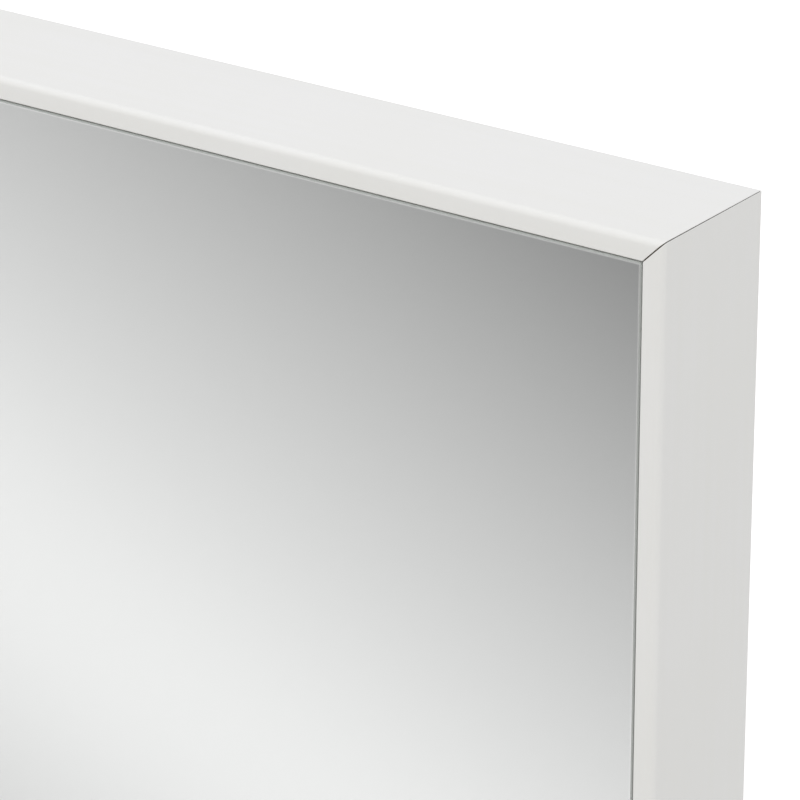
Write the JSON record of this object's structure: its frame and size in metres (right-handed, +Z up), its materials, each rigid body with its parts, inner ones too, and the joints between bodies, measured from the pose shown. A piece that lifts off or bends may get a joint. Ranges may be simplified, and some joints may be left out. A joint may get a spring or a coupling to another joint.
{
  "type": "wall mirror",
  "caption": "Square wall mirror with glass flush in the front of a deep white box frame with mitred corners, hung on keyhole plates.",
  "frame": {"origin": "midway between the entry holes of the two keyhole plates, on the frame's bare back face", "axes": "+X to the viewer's right, +Y out of the back towards the wall, +Z up; the mirror looks along -Y"},
  "size_m": [0.65, 0.042, 0.65],
  "materials": {
    "white_foil": "satin",
    "fibreboard": "raw",
    "foam_tape": "matte",
    "nail_steel": "bright",
    "float_glass": "polished",
    "silver": "mirror",
    "safety_film": "matte",
    "hardboard": "smooth",
    "plate_steel": "zinc plated",
    "screw_steel": "zinc plated",
    "clear_bumper": "clear"
  },
  "bodies": {
    "root": {"rail_core_top": "fibreboard", "rail_foil_top": "white_foil", "glass_tape_top": "foam_tape", "rail_core_right": "fibreboard", "rail_foil_right": "white_foil", "glass_tape_right": "foam_tape", "rail_core_bottom": "fibreboard", "rail_foil_bottom": "white_foil", "glass_tape_bottom": "foam_tape", "rail_core_left": "fibreboard", "rail_foil_left": "white_foil", "glass_tape_left": "foam_tape", "corner_v_nails": "nail_steel", "glass_sheet": "float_glass", "silvering": "silver", "safety_film": "safety_film", "back_panel": "hardboard", "panel_points": "nail_steel", "hanger_plate_left": "plate_steel", "hanger_plate_right": "plate_steel", "hanger_screws": "screw_steel", "wall_bumpers": "clear_bumper"}
  },
  "joints": []
}
